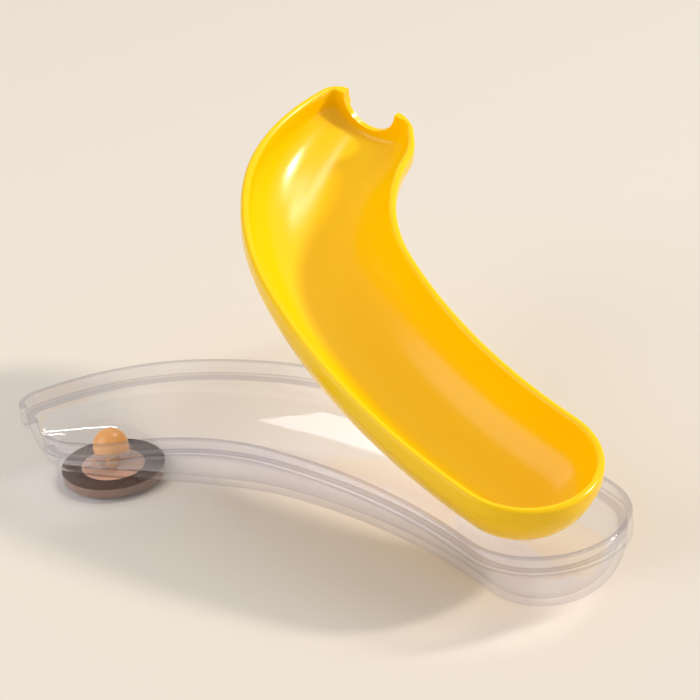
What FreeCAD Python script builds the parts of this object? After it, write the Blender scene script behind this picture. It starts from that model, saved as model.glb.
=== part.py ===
import FreeCAD, Part
import math
import os
import Sketcher

os.makedirs("parts", exist_ok=True)
doc = FreeCAD.newDocument("BananaCase")
Vector = FreeCAD.Vector

# Driving sizes in millimetres and degrees. Both halves share one plan outline, drawn about
# a middle line that runs from the flat stem face to the round blunt tip in two tangent arcs.
driving_sizes = {
    "middle_length": 235.0,
    "hook_radius": 100.0,
    "hook_length": 101.0,
    "back_radius": 256.0,
    "half_width": 27.0,
    "stem_half_width": 17.5,
    "outer_shoulder": 56.0,
    "inner_shoulder": 24.0,
    "half_depth": 28.5,
    "stem_depth": 16.0,
    "deepening_run": 78.0,
    "straight_wall": 6.0,
    "clear_fullness": 0.64,
    "yellow_fullness": 0.5,
    "stem_rounding": 5.0,
    "notch_radius": 11.0,
    # clear half: bowl, and the outer lip that the yellow rim drops into
    "bowl_wall": 2.4,
    "lip_wall": 1.8,
    "lip_rounding": 0.7,
    "seat_depth": 5.8,
    "seat_wall": 1.4,
    "foot_flat": 0.8,
    # yellow half: bowl and the rounded rim bead
    "shell_wall": 2.0,
    "bead_width": 3.2,
    "bead_height": 5.4,
    "bead_proud": 0.9,
    "bead_rounding": 1.4,
    "inner_rounding": 1.2,
    # clearances
    "rim_clearance": 0.3,
    "rest_clearance": 0.25,
    "badge_clearance": 0.15,
    # badge under the stem end
    "badge_distance": 24.0,
    "boss_wall": 1.6,
    "badge_diameter": 36.0,
    "badge_thickness": 3.0,
    "badge_recess": 4.4,
    "centre_diameter": 22.0,
    "flange_width": 1.6,
    "flange_thickness": 1.0,
    "shank_diameter": 5.0,
    "tail_diameter": 9.0,
    "tail_thickness": 0.8,
    "pad_diameter": 14.0,
    "pad_rise": 0.8,
    "knob_diameter": 12.4,
    "knob_height": 7.5,
    # how the yellow half lies in the clear one
    "lid_yaw": -40.8,
    "lid_pitch": 15.1,
    "lid_roll": -3.0,
    "lid_reach": 48.5,
    "lid_offset": 4.0,
}
sheet = doc.addObject("Spreadsheet::Sheet", "Sizes")
for row, (name, value) in enumerate(driving_sizes.items(), start=1):
    sheet.set("A%d" % row, name)
    sheet.set("B%d" % row, str(value))
    sheet.setAlias("B%d" % row, name)
doc.recompute()


def size(name):
    return float(sheet.get(name))


# Point and heading of the middle line at a distance from the stem face. The hook arc comes
# first, then the flatter back arc. The line starts along +X and turns towards -Y.
def raw_middle(run):
    hook_turn = min(run, size("hook_length")) / size("hook_radius")
    x = size("hook_radius") * math.sin(hook_turn)
    y = -size("hook_radius") * (1 - math.cos(hook_turn))
    back_turn = max(run - size("hook_length"), 0.0) / size("back_radius")
    reach = size("back_radius")
    x += reach * (math.sin(hook_turn + back_turn) - math.sin(hook_turn))
    y += reach * (math.cos(hook_turn + back_turn) - math.cos(hook_turn))
    return x, y, -(hook_turn + back_turn)


# The same line turned so that its two ends lie on the X axis, with its middle at x = 0.
def middle(run, hand):
    x, y, heading = raw_middle(run)
    end_x, end_y, _ = raw_middle(size("middle_length"))
    chord = math.hypot(end_x, end_y)
    tilt = math.atan2(end_y, end_x)
    along = (x * end_x + y * end_y) / chord - chord / 2
    across = (y * end_x - x * end_y) / chord
    return Vector(along, hand * across, 0), hand * (heading - tilt)


def convex_normal(heading, hand):
    return Vector(-math.sin(heading), math.cos(heading), 0) * hand


# Half width on one side: a quarter sine from the stem face up to the full width.
def half_width_at(run, shoulder):
    share = min(max(run / shoulder, 0.0), 1.0)
    rise = size("half_width") - size("stem_half_width")
    return size("stem_half_width") + rise * math.sin(math.pi / 2 * share)


def depth_at(run):
    share = min(max(run / size("deepening_run"), 0.0), 1.0)
    rise = size("half_depth") - size("stem_depth")
    return size("stem_depth") + rise * math.sin(math.pi / 2 * share)


# A profile is a list of strokes in the plane (across, up): two points are a straight line,
# four are the poles of a cubic curve. It starts at the top and ends at the bottom centre.
def round_corner(start, corner, end, pull):
    first = tuple(s + pull * (c - s) for s, c in zip(start, corner))
    second = tuple(e + pull * (c - e) for e, c in zip(end, corner))
    return [start, first, second, end]


circle_pull = 0.5523


def bowl_profile(width, depth, fullness, top, flare=0.0):
    straight = -size("straight_wall")
    strokes = [[(0, top), (width + flare, top)]]
    if flare:
        strokes.append([(width + flare, top), (width + flare, 0)])
        strokes.append(round_corner((width + flare, 0), (width, 0), (width, -flare), circle_pull))
        strokes.append([(width, -flare), (width, straight)])
    else:
        strokes.append([(width, top), (width, straight)])
    strokes.append(round_corner((width, straight), (width, -depth), (0, -depth), fullness))
    return strokes


def band_profile(width, top, bottom, rounding=0.0):
    strokes = [[(0, top), (width - rounding, top)]]
    if rounding:
        shoulder = (width, top - rounding)
        strokes.append(round_corner((width - rounding, top), (width, top), shoulder, circle_pull))
    strokes.append([(width, top - rounding), (width, bottom)])
    strokes.append([(width, bottom), (0, bottom)])
    return strokes


def stroke_edge(stroke, place):
    points = [place(across, up) for across, up in stroke]
    if len(points) == 2:
        return Part.LineSegment(*points).toShape()
    curve = Part.BezierCurve()
    curve.setPoles(points)
    return curve.toShape()


# A solid in the banana outline, moved inwards by an inset. The stem end is two lofts, the
# rounded corner and the run in which width and depth grow. The hook and the back turn one
# section about the centres of their arcs, and the blunt end is half a turn of half a section.
def banana_form(hand, inset, profile):
    rounding = size("stem_rounding") - inset
    shoulder_run = max(size("outer_shoulder"), size("deepening_run"))
    blunt_run = size("middle_length") - size("half_width")

    def strokes_at(run, shoulder):
        loss = 0.0
        if run - inset < rounding:
            loss = rounding - math.sqrt(rounding ** 2 - (rounding - run + inset) ** 2)
        half_width = half_width_at(max(run, 0.0), shoulder) - inset - loss
        return profile(half_width, depth_at(max(run, 0.0)) - inset - loss)

    def section_at(run):
        origin, heading = middle(run, hand)
        normal = convex_normal(heading, hand)
        outer = [stroke_edge(s, lambda a, u: origin + normal * a + Vector(0, 0, u))
                 for s in strokes_at(run, size("outer_shoulder"))]
        inner = [stroke_edge(s, lambda a, u: origin - normal * a + Vector(0, 0, u))
                 for s in strokes_at(run, size("inner_shoulder"))]
        return Part.Wire(outer + inner[::-1])

    def lofted(runs):
        return Part.makeLoft([section_at(run) for run in runs], True)

    def turned(run, length, radius):
        origin, heading = middle(run, hand)
        centre = origin - convex_normal(heading, hand) * radius
        angle = -hand * math.degrees(length / radius)
        return Part.Face(section_at(run)).revolve(centre, Vector(0, 0, 1), angle)

    corner_steps = 6
    growth_steps = 8
    corner_end = inset + rounding
    growth = (shoulder_run - corner_end) / growth_steps
    corner_angles = [math.pi / 2 * i / corner_steps for i in range(corner_steps + 1)]
    corner = lofted([inset + rounding * (1 - math.cos(angle)) for angle in corner_angles])
    stem = lofted([corner_end + growth * i for i in range(growth_steps + 1)])
    hook = turned(shoulder_run, size("hook_length") - shoulder_run, size("hook_radius"))
    back = turned(size("hook_length"), blunt_run - size("hook_length"), size("back_radius"))

    origin, heading = middle(blunt_run, hand)
    normal = convex_normal(heading, hand)
    strokes = strokes_at(blunt_run, size("outer_shoulder"))
    half = [stroke_edge(s, lambda a, u: origin + normal * a + Vector(0, 0, u)) for s in strokes]
    top, bottom = strokes[0][0][1], strokes[-1][-1][1]
    axis = Part.LineSegment(origin + Vector(0, 0, bottom), origin + Vector(0, 0, top)).toShape()
    blunt = Part.Face(Part.Wire(half + [axis])).revolve(origin, Vector(0, 0, 1), -180 * hand)
    return corner.fuse([stem, hook, back, blunt]).removeSplitter()


def feature(name, shape):
    item = doc.addObject("Part::Feature", name)
    item.Shape = shape
    return item


def fuse(name, shapes):
    item = doc.addObject("Part::MultiFuse", name)
    item.Shapes = shapes
    item.Refine = True
    return item


def cut(name, base, tool):
    item = doc.addObject("Part::Cut", name)
    item.Base = base
    item.Tool = tool
    return item


def upright_cylinder(name, bottom, diameter, height):
    item = doc.addObject("Part::Cylinder", name)
    item.setExpression("Radius", "(%s) / 2" % diameter)
    item.setExpression("Height", height)
    item.Placement.Base = badge_centre
    item.setExpression(".Placement.Base.z", bottom)
    return item


# Round stem hole, cut half into each half shell along the middle line.
def stem_notch(name, hand):
    origin, heading = middle(0, hand)
    along = Vector(math.cos(heading), math.sin(heading), 0)
    item = doc.addObject("Part::Cylinder", name)
    item.setExpression("Radius", "Sizes.notch_radius")
    item.setExpression("Height", "4 * Sizes.bowl_wall + 2 * Sizes.stem_rounding + 6")
    base = origin - along * (size("lip_wall") + size("rim_clearance") + over)
    item.Placement = FreeCAD.Placement(base, FreeCAD.Rotation(Vector(0, 0, 1), along))
    return item


# Clear half, with its rim plane at z = 0 until it is placed. Tools reach past it by `over`.
over = 2.0
clear_hand = 1
rim_height = size("half_depth") - size("foot_flat")
lip_reach = size("rim_clearance") + size("lip_wall")
lip_bottom = -size("seat_depth") - size("seat_wall")
badge_centre, _ = middle(size("badge_distance"), clear_hand)

clear_bowl = feature("ClearBowl", banana_form(
    clear_hand, 0.0, lambda w, d: bowl_profile(w, d, size("clear_fullness"), 0.0)))
clear_lip = feature("ClearLip", banana_form(
    clear_hand, -lip_reach, lambda w, d: band_profile(w, 0.0, lip_bottom, size("lip_rounding"))))
boss = upright_cylinder(
    "BadgeBoss", "Sizes.foot_flat - Sizes.half_depth",
    "Sizes.badge_diameter + 2 * Sizes.badge_clearance + 2 * Sizes.boss_wall",
    "Sizes.half_depth - Sizes.foot_flat - Sizes.seat_depth")
clear_cavity = feature("ClearCavity", banana_form(
    clear_hand, size("bowl_wall"), lambda w, d: bowl_profile(w, d, size("clear_fullness"), over)))
clear_recess = feature("ClearRecess", banana_form(
    clear_hand, -size("rim_clearance"), lambda w, d: band_profile(w, over, -size("seat_depth"))))
clear_outside = fuse("ClearOutside", [clear_bowl, clear_lip, boss])
clear_hollow = cut("ClearHollow", clear_outside, clear_cavity)
clear_stepped = cut("ClearStepped", clear_hollow, clear_recess)
clear_shell = cut("ClearShell", clear_stepped, stem_notch("ClearNotch", clear_hand))

# The rivet pad stands a little above the highest floor that it covers.
pad_run = size("badge_distance") - size("pad_diameter") / 2
pad_height = rim_height - depth_at(pad_run) + size("bowl_wall") + size("pad_rise")
sheet.set("D1", str(pad_height))
sheet.setAlias("D1", "pad_height")
doc.recompute()
pad = upright_cylinder(
    "RivetPad", "Sizes.badge_recess - Sizes.half_depth + Sizes.foot_flat",
    "Sizes.pad_diameter", "Sizes.pad_height - Sizes.badge_recess")
clear_padded = fuse("ClearPadded", [clear_shell, pad])
badge_hole = upright_cylinder(
    "BadgeHole", "Sizes.foot_flat - Sizes.half_depth - 2",
    "Sizes.badge_diameter + 2 * Sizes.badge_clearance", "Sizes.badge_recess + 2")
shank_hole = upright_cylinder(
    "ShankHole", "Sizes.foot_flat - Sizes.half_depth - 2",
    "Sizes.shank_diameter + 2 * Sizes.badge_clearance", "Sizes.half_depth")
ground = doc.addObject("Part::Box", "BelowGround")
ground.setExpression("Length", "2 * Sizes.middle_length")
ground.setExpression("Width", "2 * Sizes.middle_length")
ground.setExpression("Height", "10 * Sizes.foot_flat")
ground.setExpression(".Placement.Base.x", "-Sizes.middle_length")
ground.setExpression(".Placement.Base.y", "-Sizes.middle_length")
ground.setExpression(".Placement.Base.z", "-Sizes.half_depth - 9 * Sizes.foot_flat")
clear_holes = fuse("ClearHoles", [badge_hole, shank_hole, ground])
clear_half = cut("clear_half", clear_padded, clear_holes)

# Yellow half: the same outline mirrored, with a bead round its rim.
lid_hand = -1
yellow_bowl = feature("YellowBowl", banana_form(
    lid_hand, size("bead_proud"),
    lambda w, d: bowl_profile(w, d, size("yellow_fullness"), 0.0)))
yellow_bead = feature("YellowBead", banana_form(
    lid_hand, 0.0,
    lambda w, d: band_profile(w, 0.0, -size("bead_height"), size("bead_rounding"))))
yellow_cavity = feature("YellowCavity", banana_form(
    lid_hand, size("bead_proud") + size("shell_wall"),
    lambda w, d: bowl_profile(w, d, size("yellow_fullness"), over, size("inner_rounding"))))
yellow_outside = fuse("YellowOutside", [yellow_bead, yellow_bowl])
yellow_hollow = cut("YellowHollow", yellow_outside, yellow_cavity)
yellow_half = cut("yellow_half", yellow_hollow, stem_notch("YellowNotch", lid_hand))
doc.recompute()

# The row's origin is on the ground under the middle of the clear half's belly.
origin_point, _ = middle(size("middle_length") / 2, clear_hand)
clear_half.Placement.Base = Vector(0, 0, rim_height) - origin_point

# Turn the yellow half as it lies, put the belly point near its blunt end over the clear half's
# middle line, and lower it until the two are the rest clearance apart.
turning = FreeCAD.Rotation(size("lid_yaw"), size("lid_pitch"), size("lid_roll"))
grip, _ = middle(size("middle_length") - size("half_width"), lid_hand)
grip = grip - Vector(0, 0, size("half_depth"))
target, target_heading = middle(size("middle_length") - size("lid_reach"), clear_hand)
target = target + convex_normal(target_heading, clear_hand) * size("lid_offset") - origin_point
height = 2 * size("half_depth")
spare = height
while spare > 0.02:
    yellow_half.Placement = FreeCAD.Placement(
        target + Vector(0, 0, height) - turning.multVec(grip), turning)
    spare = yellow_half.Shape.distToShape(clear_half.Shape)[0] - size("rest_clearance")
    height -= spare


# A body turned about Z from a half profile. Each corner is a pair of expressions, radius and
# height. A dome is a quarter circle that closes the profile from its last corner to the axis.
def turned_piece(name, corners, dome_base=None):
    body = doc.addObject("PartDesign::Body", name)
    roles = {part.Role: part for part in body.Origin.OriginFeatures}
    sketch = body.newObject("Sketcher::SketchObject", name + "Profile")
    sketch.AttachmentSupport = (roles["XZ_Plane"], "")
    sketch.MapMode = "FlatFace"
    count = len(corners)
    start_points = [Vector(3.0 + index % 2, 1.0 + index, 0) for index in range(count)]
    ends = []
    for index in range(count - 1):
        line = Part.LineSegment(start_points[index], start_points[index + 1])
        ends.append(sketch.addGeometry(line, False))
    if dome_base:
        centre = Vector(0, start_points[-1].y, 0)
        circle = Part.Circle(centre, Vector(0, 0, 1), start_points[-1].x)
        dome = sketch.addGeometry(Part.ArcOfCircle(circle, 0.0, math.pi / 2), False)
        top = centre + Vector(0, start_points[-1].x, 0)
        closing = sketch.addGeometry(Part.LineSegment(top, start_points[0]), False)
        sketch.addConstraint(Sketcher.Constraint("Coincident", ends[-1], 2, dome, 1))
        sketch.addConstraint(Sketcher.Constraint("Coincident", dome, 2, closing, 1))
        sketch.addConstraint(Sketcher.Constraint("PointOnObject", dome, 3, -2))
        sketch.addConstraint(Sketcher.Constraint("PointOnObject", dome, 2, -2))
        level = sketch.addConstraint(
            Sketcher.Constraint("DistanceY", -1, 1, dome, 3, start_points[-1].y))
        sketch.setExpression("Constraints[%d]" % level, dome_base)
    else:
        closing = sketch.addGeometry(Part.LineSegment(start_points[-1], start_points[0]), False)
        sketch.addConstraint(Sketcher.Constraint("Coincident", ends[-1], 2, closing, 1))
    for first, second in zip(ends, ends[1:]):
        sketch.addConstraint(Sketcher.Constraint("Coincident", first, 2, second, 1))
    sketch.addConstraint(Sketcher.Constraint("Coincident", closing, 2, ends[0], 1))
    for index, (radius, above) in enumerate(corners):
        edge, end = (ends[index], 1) if index < count - 1 else (ends[-1], 2)
        if radius == "axis":
            sketch.addConstraint(Sketcher.Constraint("PointOnObject", edge, end, -2))
        else:
            across = sketch.addConstraint(
                Sketcher.Constraint("DistanceX", -1, 1, edge, end, start_points[index].x))
            sketch.setExpression("Constraints[%d]" % across, radius)
        up = sketch.addConstraint(
            Sketcher.Constraint("DistanceY", -1, 1, edge, end, start_points[index].y))
        sketch.setExpression("Constraints[%d]" % up, above)
    turned = body.newObject("PartDesign::Revolution", name + "Turned")
    turned.Profile = sketch
    turned.ReferenceAxis = (roles["Z_Axis"], "")
    turned.Angle = 360
    body.Placement.Base = badge_centre - origin_point
    return body


# Badge, from below: the disc fills the recess, the centre plug's flange sits in the disc, and
# the knob's shank passes through the plug and the floor to a flattened tail.
recess_top = "Sizes.badge_recess"
disc_bottom = "Sizes.badge_recess - Sizes.badge_thickness"
flange_top = disc_bottom + " + Sizes.flange_thickness"
disc_radius = "Sizes.badge_diameter / 2"
plug_radius = "Sizes.centre_diameter / 2"
shank_radius = "Sizes.shank_diameter / 2"
knob_radius = "Sizes.knob_diameter / 2"
badge_disc = turned_piece("badge_disc", [
    (plug_radius + " + Sizes.badge_clearance", recess_top),
    (disc_radius, recess_top),
    (disc_radius, disc_bottom),
    (plug_radius + " + Sizes.flange_width + Sizes.badge_clearance", disc_bottom),
    (plug_radius + " + Sizes.flange_width + Sizes.badge_clearance", flange_top),
    (plug_radius + " + Sizes.badge_clearance", flange_top)])
badge_plug = turned_piece("badge_plug", [
    (shank_radius + " + Sizes.badge_clearance", disc_bottom),
    (plug_radius + " + Sizes.flange_width", disc_bottom),
    (plug_radius + " + Sizes.flange_width", flange_top),
    (plug_radius, flange_top),
    (plug_radius, recess_top),
    (shank_radius + " + Sizes.badge_clearance", recess_top)])
badge_knob = turned_piece("badge_knob", [
    ("axis", disc_bottom + " - Sizes.tail_thickness"),
    ("Sizes.tail_diameter / 2", disc_bottom + " - Sizes.tail_thickness"),
    ("Sizes.tail_diameter / 2", disc_bottom),
    (shank_radius, disc_bottom),
    (shank_radius, "Sizes.pad_height"),
    (knob_radius, "Sizes.pad_height"),
    (knob_radius, "Sizes.pad_height + Sizes.knob_height - " + knob_radius)],
    "Sizes.pad_height + Sizes.knob_height - " + knob_radius)
doc.recompute()

for item in doc.Objects:
    if "Invalid" in item.State or "Error" in item.State:
        raise RuntimeError("%s failed: %s" % (item.Label, item.State))
for item in [clear_half, yellow_half, badge_disc, badge_plug, badge_knob]:
    if item.Shape.isNull() or not item.Shape.isValid():
        raise RuntimeError("%s has no valid solid" % item.Label)
    item.Shape.exportStep("parts/%s.step" % item.Label)
    print(item.Label, len(item.Shape.Solids), round(item.Shape.Volume), item.Shape.BoundBox)
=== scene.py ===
import math

import bpy
import bmesh
import numpy as np
from mathutils import Matrix, Vector


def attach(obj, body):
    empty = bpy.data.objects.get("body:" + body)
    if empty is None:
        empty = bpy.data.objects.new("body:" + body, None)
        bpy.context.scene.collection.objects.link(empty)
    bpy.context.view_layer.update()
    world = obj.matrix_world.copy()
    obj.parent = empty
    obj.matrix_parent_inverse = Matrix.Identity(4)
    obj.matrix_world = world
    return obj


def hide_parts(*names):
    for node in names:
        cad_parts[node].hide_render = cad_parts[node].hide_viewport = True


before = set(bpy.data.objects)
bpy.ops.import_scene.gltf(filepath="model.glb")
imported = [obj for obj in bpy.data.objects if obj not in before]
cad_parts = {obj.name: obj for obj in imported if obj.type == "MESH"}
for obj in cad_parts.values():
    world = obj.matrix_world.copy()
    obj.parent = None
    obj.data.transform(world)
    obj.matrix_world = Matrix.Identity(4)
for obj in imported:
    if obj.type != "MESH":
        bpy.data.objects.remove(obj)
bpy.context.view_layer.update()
mm = 0.001

# camera at the photograph's angle, worked out from the outlines of both halves
cameraView = {
    "position": (600.2 * mm, -882.8 * mm, 613.9 * mm),
    "forward": (-0.49799, 0.73304, -0.46331),
    "right": (0.84858, 0.52199, -0.08620),
    "focalPixels": 3622.0,
    "imagePixels": 700.0,
    "sensorMm": 36.0,
    "clip": (0.05, 20.0),
}


def addCamera(view):
    camera = bpy.data.objects.new("camera", bpy.data.cameras.new("camera"))
    forward = Vector(view["forward"]).normalized()
    right = Vector(view["right"]).normalized()
    up = right.cross(forward)
    turned = Matrix((right, up, -forward)).transposed().to_4x4()
    camera.matrix_world = Matrix.Translation(view["position"]) @ turned
    camera.data.sensor_width = view["sensorMm"]
    camera.data.lens = view["focalPixels"] / view["imagePixels"] * view["sensorMm"]
    camera.data.clip_start, camera.data.clip_end = view["clip"]
    bpy.context.collection.objects.link(camera)
    bpy.context.scene.camera = camera


addCamera(cameraView)
print("camera set")


# sRGB hex string to linear colour with alpha
def linearColour(hexText):
    parts = np.array([int(hexText[i:i + 2], 16) for i in (1, 3, 5)]) / 255.0
    linear = np.where(parts <= 0.04045, parts / 12.92, ((parts + 0.055) / 1.055) ** 2.4)
    return (*linear.tolist(), 1.0)


# adds one node, sets its sockets and properties, and links its inputs
def addNode(tree, kind, settings=None, links=None, **properties):
    node = tree.nodes.new(kind)
    for name, value in properties.items():
        setattr(node, name, value)
    for socket, value in (settings or {}).items():
        node.inputs[socket].default_value = value
    for socket, source in (links or {}).items():
        tree.links.new(source, node.inputs[socket])
    return node


def newMaterial(name):
    material = bpy.data.materials.new(name)
    material.use_nodes = True
    material.node_tree.nodes.clear()
    return material, material.node_tree


# shared by the mouldings: how deep the mould's texture goes, how far the roughness wanders,
# and how rough the thin polished skin is
bumpDepth = 0.1 * mm
roughnessDrift = 0.15
skinRoughness = 0.08


# opaque moulded plastic: a fine tooling grain, and a slow drift of colour and roughness
def mouldedPlastic(name, look):
    material, tree = newMaterial(name)
    place = addNode(tree, "ShaderNodeTexCoord").outputs["Object"]
    drift = addNode(tree, "ShaderNodeTexNoise",
                    {"Scale": 1 / (look["driftMm"] * mm), "Detail": 2.0}, {"Vector": place})
    colour = addNode(tree, "ShaderNodeMix", {"A": linearColour(look["colour"]),
                     "B": linearColour(look["deepColour"])},
                     {"Factor": drift.outputs["Fac"]}, data_type="RGBA")
    grain = addNode(tree, "ShaderNodeTexNoise",
                    {"Scale": 1 / (look["grainMm"] * mm), "Detail": 3.0}, {"Vector": place})
    bump = addNode(tree, "ShaderNodeBump", {"Strength": look["grainStrength"],
                   "Distance": bumpDepth}, {"Height": grain.outputs["Fac"]})
    rough = addNode(tree, "ShaderNodeMapRange", {"To Min": look["roughness"] * (1 - roughnessDrift),
                    "To Max": look["roughness"] * (1 + roughnessDrift)},
                    {"Value": drift.outputs["Fac"]})
    shader = addNode(tree, "ShaderNodeBsdfPrincipled",
                     {"IOR": look["ior"], "Subsurface Weight": look["glow"],
                      "Subsurface Radius": look["glowRadius"], "Subsurface Scale": mm,
                      "Coat Weight": look["coat"], "Coat Roughness": skinRoughness},
                     {"Base Color": colour.outputs["Result"], "Roughness": rough.outputs["Result"],
                      "Normal": bump.outputs["Normal"]})
    addNode(tree, "ShaderNodeOutputMaterial", None, {"Surface": shader.outputs["BSDF"]})
    return material


# how near a height comes to a level: 1 on it, falling to 0 at the half width of the line
def levelLine(tree, height, levelMm, halfMm):
    away = addNode(tree, "ShaderNodeMath", {1: levelMm * mm}, {0: height}, operation="SUBTRACT")
    gap = addNode(tree, "ShaderNodeMath", None, {0: away.outputs["Value"]}, operation="ABSOLUTE")
    line = addNode(tree, "ShaderNodeMapRange",
                   {"From Max": halfMm * mm, "To Min": 1.0, "To Max": 0.0},
                   {"Value": gap.outputs["Value"]}, interpolation_type="SMOOTHSTEP")
    return line.outputs["Result"]


# clear polystyrene: thin walls pass light nearly straight with no bending; painted shade greys the
# grazing walls and the two edges of the stepped rim in place of refraction, and its shadow keeps
# those lines
def clearPlastic(name, look):
    material, tree = newMaterial(name)
    place = addNode(tree, "ShaderNodeTexCoord").outputs["Object"]
    height = addNode(tree, "ShaderNodeSeparateXYZ", None, {"Vector": place}).outputs["Z"]
    flow = addNode(tree, "ShaderNodeTexNoise",
                   {"Scale": 1 / (look["flowMm"] * mm), "Detail": 1.0}, {"Vector": place})
    bump = addNode(tree, "ShaderNodeBump", {"Strength": look["flowStrength"],
                   "Distance": bumpDepth}, {"Height": flow.outputs["Fac"]})
    # painted shade: the walls turn greyer as they turn edge-on, standing in for the darkening that
    # refraction would give
    facing = addNode(tree, "ShaderNodeLayerWeight").outputs["Facing"]
    paintedShade = addNode(tree, "ShaderNodeMath", {1: look["paintedShadePower"]}, {0: facing},
                   operation="POWER").outputs["Value"]
    # painted shade lines along the rim's top edge and its ledge, standing in for light bent at the
    # rim's rounded edges
    for levelMm in look["lineLevelsMm"]:
        line = levelLine(tree, height, levelMm, look["lineHalfMm"])
        paintedLine = addNode(tree, "ShaderNodeMath", {1: look["paintedLineStrength"]}, {0: line},
                       operation="MULTIPLY").outputs["Value"]
        paintedShade = addNode(tree, "ShaderNodeMath", None, {0: paintedShade, 1: paintedLine},
                       operation="MAXIMUM").outputs["Value"]
    colour = addNode(tree, "ShaderNodeMix", {"A": linearColour(look["colour"]),
                     "B": linearColour(look["paintedShadeColour"])}, {"Factor": paintedShade}, data_type="RGBA")
    glass = addNode(tree, "ShaderNodeBsdfPrincipled",
                    {"Roughness": look["roughness"], "IOR": look["ior"], "Transmission Weight": 1.0,
                     "Coat Weight": look["coat"], "Coat IOR": look["coatIor"],
                     "Coat Roughness": look["roughness"]},
                    {"Base Color": colour.outputs["Result"], "Normal": bump.outputs["Normal"]})
    through = addNode(tree, "ShaderNodeBsdfTransparent", None, {"Color": colour.outputs["Result"]})
    ray = addNode(tree, "ShaderNodeLightPath")
    mixed = addNode(tree, "ShaderNodeMixShader", None,
                    {0: ray.outputs["Is Shadow Ray"], 1: glass.outputs["BSDF"],
                     2: through.outputs["BSDF"]})
    addNode(tree, "ShaderNodeOutputMaterial", None, {"Surface": mixed.outputs["Shader"]})
    return material


# finishes: colours are sRGB, and grain, drift and glow are in millimetres
yellowLook = {"colour": "#ffd500", "deepColour": "#ffcd00", "driftMm": 60.0, "grainMm": 0.8,
              "grainStrength": 0.04, "roughness": 0.2, "ior": 1.4, "glow": 0.15,
              "glowRadius": (3.0, 1.8, 0.3), "coat": 0.0}
brownLook = {"colour": "#8b5d42", "deepColour": "#744a33", "driftMm": 9.0, "grainMm": 0.6,
             "grainStrength": 0.05, "roughness": 0.28, "ior": 1.5, "glow": 0.0,
             "glowRadius": (1.0, 0.5, 0.2), "coat": 0.3}
peachLook = {"colour": "#eec6a6", "deepColour": "#e8b994", "driftMm": 8.0, "grainMm": 0.5,
             "grainStrength": 0.08, "roughness": 0.38, "ior": 1.5, "glow": 0.1,
             "glowRadius": (1.0, 0.5, 0.2), "coat": 0.0}
amberLook = {"colour": "#f4b672", "deepColour": "#f0a95c", "driftMm": 6.0, "grainMm": 0.5,
             "grainStrength": 0.05, "roughness": 0.3, "ior": 1.5, "glow": 0.15,
             "glowRadius": (1.0, 0.5, 0.2), "coat": 0.2}

# the rim's upper edge is the top of the clear half, and its ledge lies one seat depth lower
rimTopMm = max(corner[2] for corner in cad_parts["clear_half"].bound_box) / mm
seatDepthMm = 5.8
# the edge colour is painted shade, mixed in by how edge-on a wall is and by nearness to the two rim
# levels
clearLook = {"colour": "#fcfcff", "paintedShadeColour": "#b4afbc", "paintedShadePower": 4.5,
             "lineLevelsMm": (rimTopMm, rimTopMm - seatDepthMm), "lineHalfMm": 0.7,
             "paintedLineStrength": 0.7, "flowMm": 25.0, "flowStrength": 0.05, "roughness": 0.02,
             "ior": 1.0, "coat": 1.0, "coatIor": 1.75}

finishes = {
    "clear_half": ("clearPolystyrene", clearPlastic, clearLook),
    "yellow_half": ("yellowPolypropylene", mouldedPlastic, yellowLook),
    "badge_disc": ("brownAbs", mouldedPlastic, brownLook),
    "badge_plug": ("peachAbs", mouldedPlastic, peachLook),
    "badge_knob": ("amberAbs", mouldedPlastic, amberLook),
}


# limits for the copied mesh: vertices this close are one, edges this short go, and a turn this
# steep stays a sharp edge
meshCare = {"weldMm": 0.002, "shortestMm": 0.001, "sharpDegrees": 28.0}


# smooth copy of a CAD part: its loose triangles are joined, and only real edges stay sharp
def smoothCopy(node, care):
    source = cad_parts[node]
    mesh = source.data.copy()
    mesh.name = node + "Smooth"
    shape = bmesh.new()
    shape.from_mesh(mesh)
    bmesh.ops.remove_doubles(shape, verts=shape.verts, dist=care["weldMm"] * mm)
    bmesh.ops.dissolve_degenerate(shape, edges=shape.edges, dist=care["shortestMm"] * mm)
    sharpAngle = math.radians(care["sharpDegrees"])
    for edge in shape.edges:
        edge.smooth = not edge.is_manifold or edge.calc_face_angle(0.0) < sharpAngle
    for face in shape.faces:
        face.smooth = True
    shape.to_mesh(mesh)
    shape.free()
    piece = bpy.data.objects.new(node + "_shell", mesh)
    bpy.context.collection.objects.link(piece)
    return piece


bodyOf = {"clear_half": "tray", "badge_disc": "tray", "badge_plug": "tray", "badge_knob": "tray",
          "yellow_half": "lid"}
for node, (name, recipe, look) in finishes.items():
    piece = smoothCopy(node, meshCare)
    piece.data.materials.clear()
    piece.data.materials.append(recipe(name, look))
    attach(piece, bodyOf[node])
    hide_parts(node)
print("shells and badge dressed")


# plain pale worktop and soft daylight from the right and behind
studio = {"floor": "#e1dcd4", "floorRoughness": 0.45, "floorGapMm": 0.1, "floorReach": 4.0,
          "world": "#fcf7f0", "worldStrength": 0.54}


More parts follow.
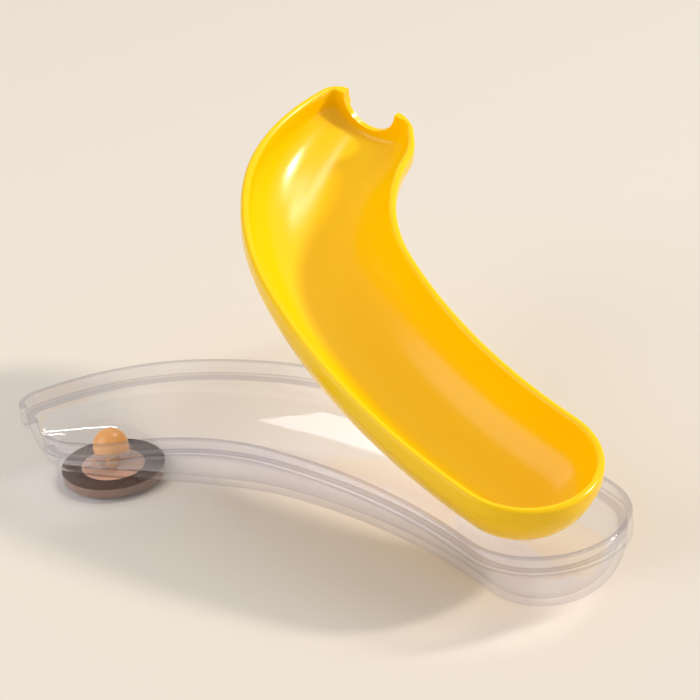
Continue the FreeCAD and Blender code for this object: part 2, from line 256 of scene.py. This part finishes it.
def addStudio(look):
    mesh = bpy.data.meshes.new("floor")
    reach = look["floorReach"]
    low = -look["floorGapMm"] * mm
    signs = ((-1, -1), (1, -1), (1, 1), (-1, 1))
    corners = [(reach * x, reach * y, low) for x, y in signs]
    mesh.from_pydata(corners, [], [(0, 1, 2, 3)])
    floor = bpy.data.objects.new("floor", mesh)
    bpy.context.collection.objects.link(floor)
    material, tree = newMaterial("paleWorktop")
    shader = addNode(tree, "ShaderNodeBsdfPrincipled",
                     {"Base Color": linearColour(look["floor"]),
                      "Roughness": look["floorRoughness"]})
    addNode(tree, "ShaderNodeOutputMaterial", None, {"Surface": shader.outputs["BSDF"]})
    mesh.materials.append(material)
    world = bpy.data.worlds.new("daylight")
    world.use_nodes = True
    backdrop = world.node_tree.nodes["Background"]
    backdrop.inputs["Color"].default_value = linearColour(look["world"])
    backdrop.inputs["Strength"].default_value = look["worldStrength"]
    bpy.context.scene.world = world


# a low sun, two long window panes that draw the streaks inside the yellow half, and a soft fill
paneAim = (-0.05, 0.07, 0.06)
lamps = (
    {"name": "sun", "kind": "SUN", "place": (1.2, 1.0, 1.0), "aim": (0.0, 0.0, 0.0),
     "energy": 1.8, "colour": "#fff0dc", "form": {"angle": math.radians(7.0)}},
    {"name": "windowPane", "kind": "AREA", "place": (0.22, 0.57, 1.0), "aim": paneAim,
     "energy": 2.4, "colour": "#ffffff",
     "form": {"shape": "RECTANGLE", "size": 0.07, "size_y": 0.6}},
    {"name": "sidePane", "kind": "AREA", "place": (0.46, 0.70, 0.86), "aim": paneAim,
     "energy": 1.2, "colour": "#ffffff",
     "form": {"shape": "RECTANGLE", "size": 0.05, "size_y": 0.5}},
    {"name": "fill", "kind": "AREA", "place": (-0.9, -0.9, 0.9), "aim": (0.0, 0.0, 0.04),
     "energy": 8.0, "colour": "#fbf8ff",
     "form": {"shape": "RECTANGLE", "size": 1.2, "size_y": 1.2}},
)


def addLamp(look):
    lamp = bpy.data.lights.new(look["name"], look["kind"])
    lamp.energy = look["energy"]
    lamp.color = linearColour(look["colour"])[:3]
    for key, value in look["form"].items():
        setattr(lamp, key, value)
    holder = bpy.data.objects.new(look["name"], lamp)
    holder.location = look["place"]
    holder.rotation_mode = "QUATERNION"
    direction = Vector(look["aim"]) - Vector(look["place"])
    holder.rotation_quaternion = direction.to_track_quat("-Z", "Y")
    bpy.context.collection.objects.link(holder)


addStudio(studio)
for lampLook in lamps:
    addLamp(lampLook)
bpy.context.scene.view_settings.view_transform = "Standard"
print("studio lit")
